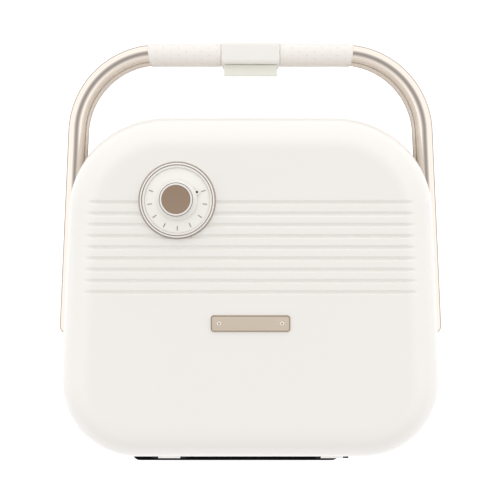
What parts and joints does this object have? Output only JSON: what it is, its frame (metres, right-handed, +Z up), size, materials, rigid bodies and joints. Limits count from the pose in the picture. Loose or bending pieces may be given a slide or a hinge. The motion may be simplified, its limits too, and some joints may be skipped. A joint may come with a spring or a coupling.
{
  "type": "sandwich toaster",
  "caption": "Suitcase-shaped sandwich toaster with a grooved lid, a dial timer, twin bent-tube handles and two baking plates.",
  "frame": {"origin": "on the table, under the middle of the whole toaster's outline", "axes": "+Z up from the table to the lid, +Y towards the hinge edge, +X to the side that carries the timer dial; the handle points along -Y"},
  "size_m": [0.2642, 0.2916, 0.126],
  "materials": {
    "shell_gloss": "glossy cream white",
    "trim_cream": "satin cream",
    "grip_speckled": "soft cream with fine grey specks",
    "champagne_metal": "satin champagne",
    "bronze_disc": "satin brown",
    "nameplate_metal": "satin champagne",
    "frame_black": "matt black",
    "stand_black": "matt black",
    "foot_rubber": "matt",
    "nonstick": "dark non-stick coating",
    "reflector_steel": "bright sheet",
    "heater_sheath": "heat-tinted",
    "steel": "zinc plated",
    "ceramic": "matt ceramic"
  },
  "bodies": {
    "base": {"base_shell": "shell_gloss", "bottom_cover": "trim_cream", "cover_screws": "steel", "rubber_feet": "foot_rubber", "rear_stand": "stand_black", "cord_gland": "foot_rubber", "terminal_block": "ceramic", "lower_frame": "frame_black", "lower_frame_screws": "steel", "lower_plate": "nonstick", "lower_heater": "heater_sheath", "lower_heater_clamps": "steel", "lower_reflector": "reflector_steel", "thermostat": "ceramic", "thermal_fuse": "steel", "lower_handle_bar": "champagne_metal", "lower_bar_caps": "champagne_metal", "lower_grips": "grip_speckled", "lower_bar_screws": "steel", "latch_keeper": "trim_cream", "hinge_brackets": "stand_black", "hinge_pins": "steel", "lower_release_pin": "steel", "lower_release_spring": "steel"},
    "lid": {"lid_shell": "shell_gloss", "upper_frame": "frame_black", "upper_frame_screws": "steel", "upper_plate": "nonstick", "upper_heater": "heater_sheath", "upper_heater_clamps": "steel", "upper_reflector": "reflector_steel", "upper_handle_bar": "champagne_metal", "upper_bar_caps": "champagne_metal", "upper_grips": "grip_speckled", "upper_bar_screws": "steel", "latch_clip": "trim_cream", "latch_pin": "steel", "hinge_knuckles": "shell_gloss", "upper_release_pin": "steel", "upper_release_spring": "steel", "timer_body": "steel", "dial_bezel": "trim_cream", "dial_plate": "trim_cream", "nameplate": "nameplate_metal", "nameplate_rivets": "champagne_metal"},
    "timer": {"timer_knob": "trim_cream", "knob_cap": "bronze_disc", "timer_shaft": "steel"},
    "latch": {"latch_lever": "trim_cream"},
    "upper_release": {"upper_release_lever": "frame_black"},
    "lower_release": {"lower_release_lever": "frame_black"}
  },
  "joints": [
    {"name": "lid_hinge", "type": "hinge", "parent": "base", "child": "lid", "pos_m": [0, 0.1376, 0.06], "axis": [-1, 0, 0], "range_deg": [0, 105]},
    {"name": "timer_turn", "type": "hinge", "parent": "lid", "child": "timer", "pos_m": [0.048, -0.03485, 0.11], "axis": [0, 0, -1], "range_deg": [0, 220]},
    {"name": "latch_swing", "type": "hinge", "parent": "lid", "child": "latch", "pos_m": [0, -0.1277, 0.063], "axis": [-1, 0, 0], "range_deg": [0, 8]},
    {"name": "upper_release_press", "type": "hinge", "parent": "lid", "child": "upper_release", "pos_m": [0, -0.052, 0.069], "axis": [-1, 0, 0], "range_deg": [0, 24], "stiffness_Nm_per_rad": 0.02, "springref_deg": -20.05, "deforming": ["upper_release_spring"]},
    {"name": "lower_release_press", "type": "hinge", "parent": "base", "child": "lower_release", "pos_m": [0, -0.052, 0.051], "axis": [1, 0, 0], "range_deg": [0, 24], "stiffness_Nm_per_rad": 0.02, "springref_deg": -20.05, "deforming": ["lower_release_spring"]}
  ]
}
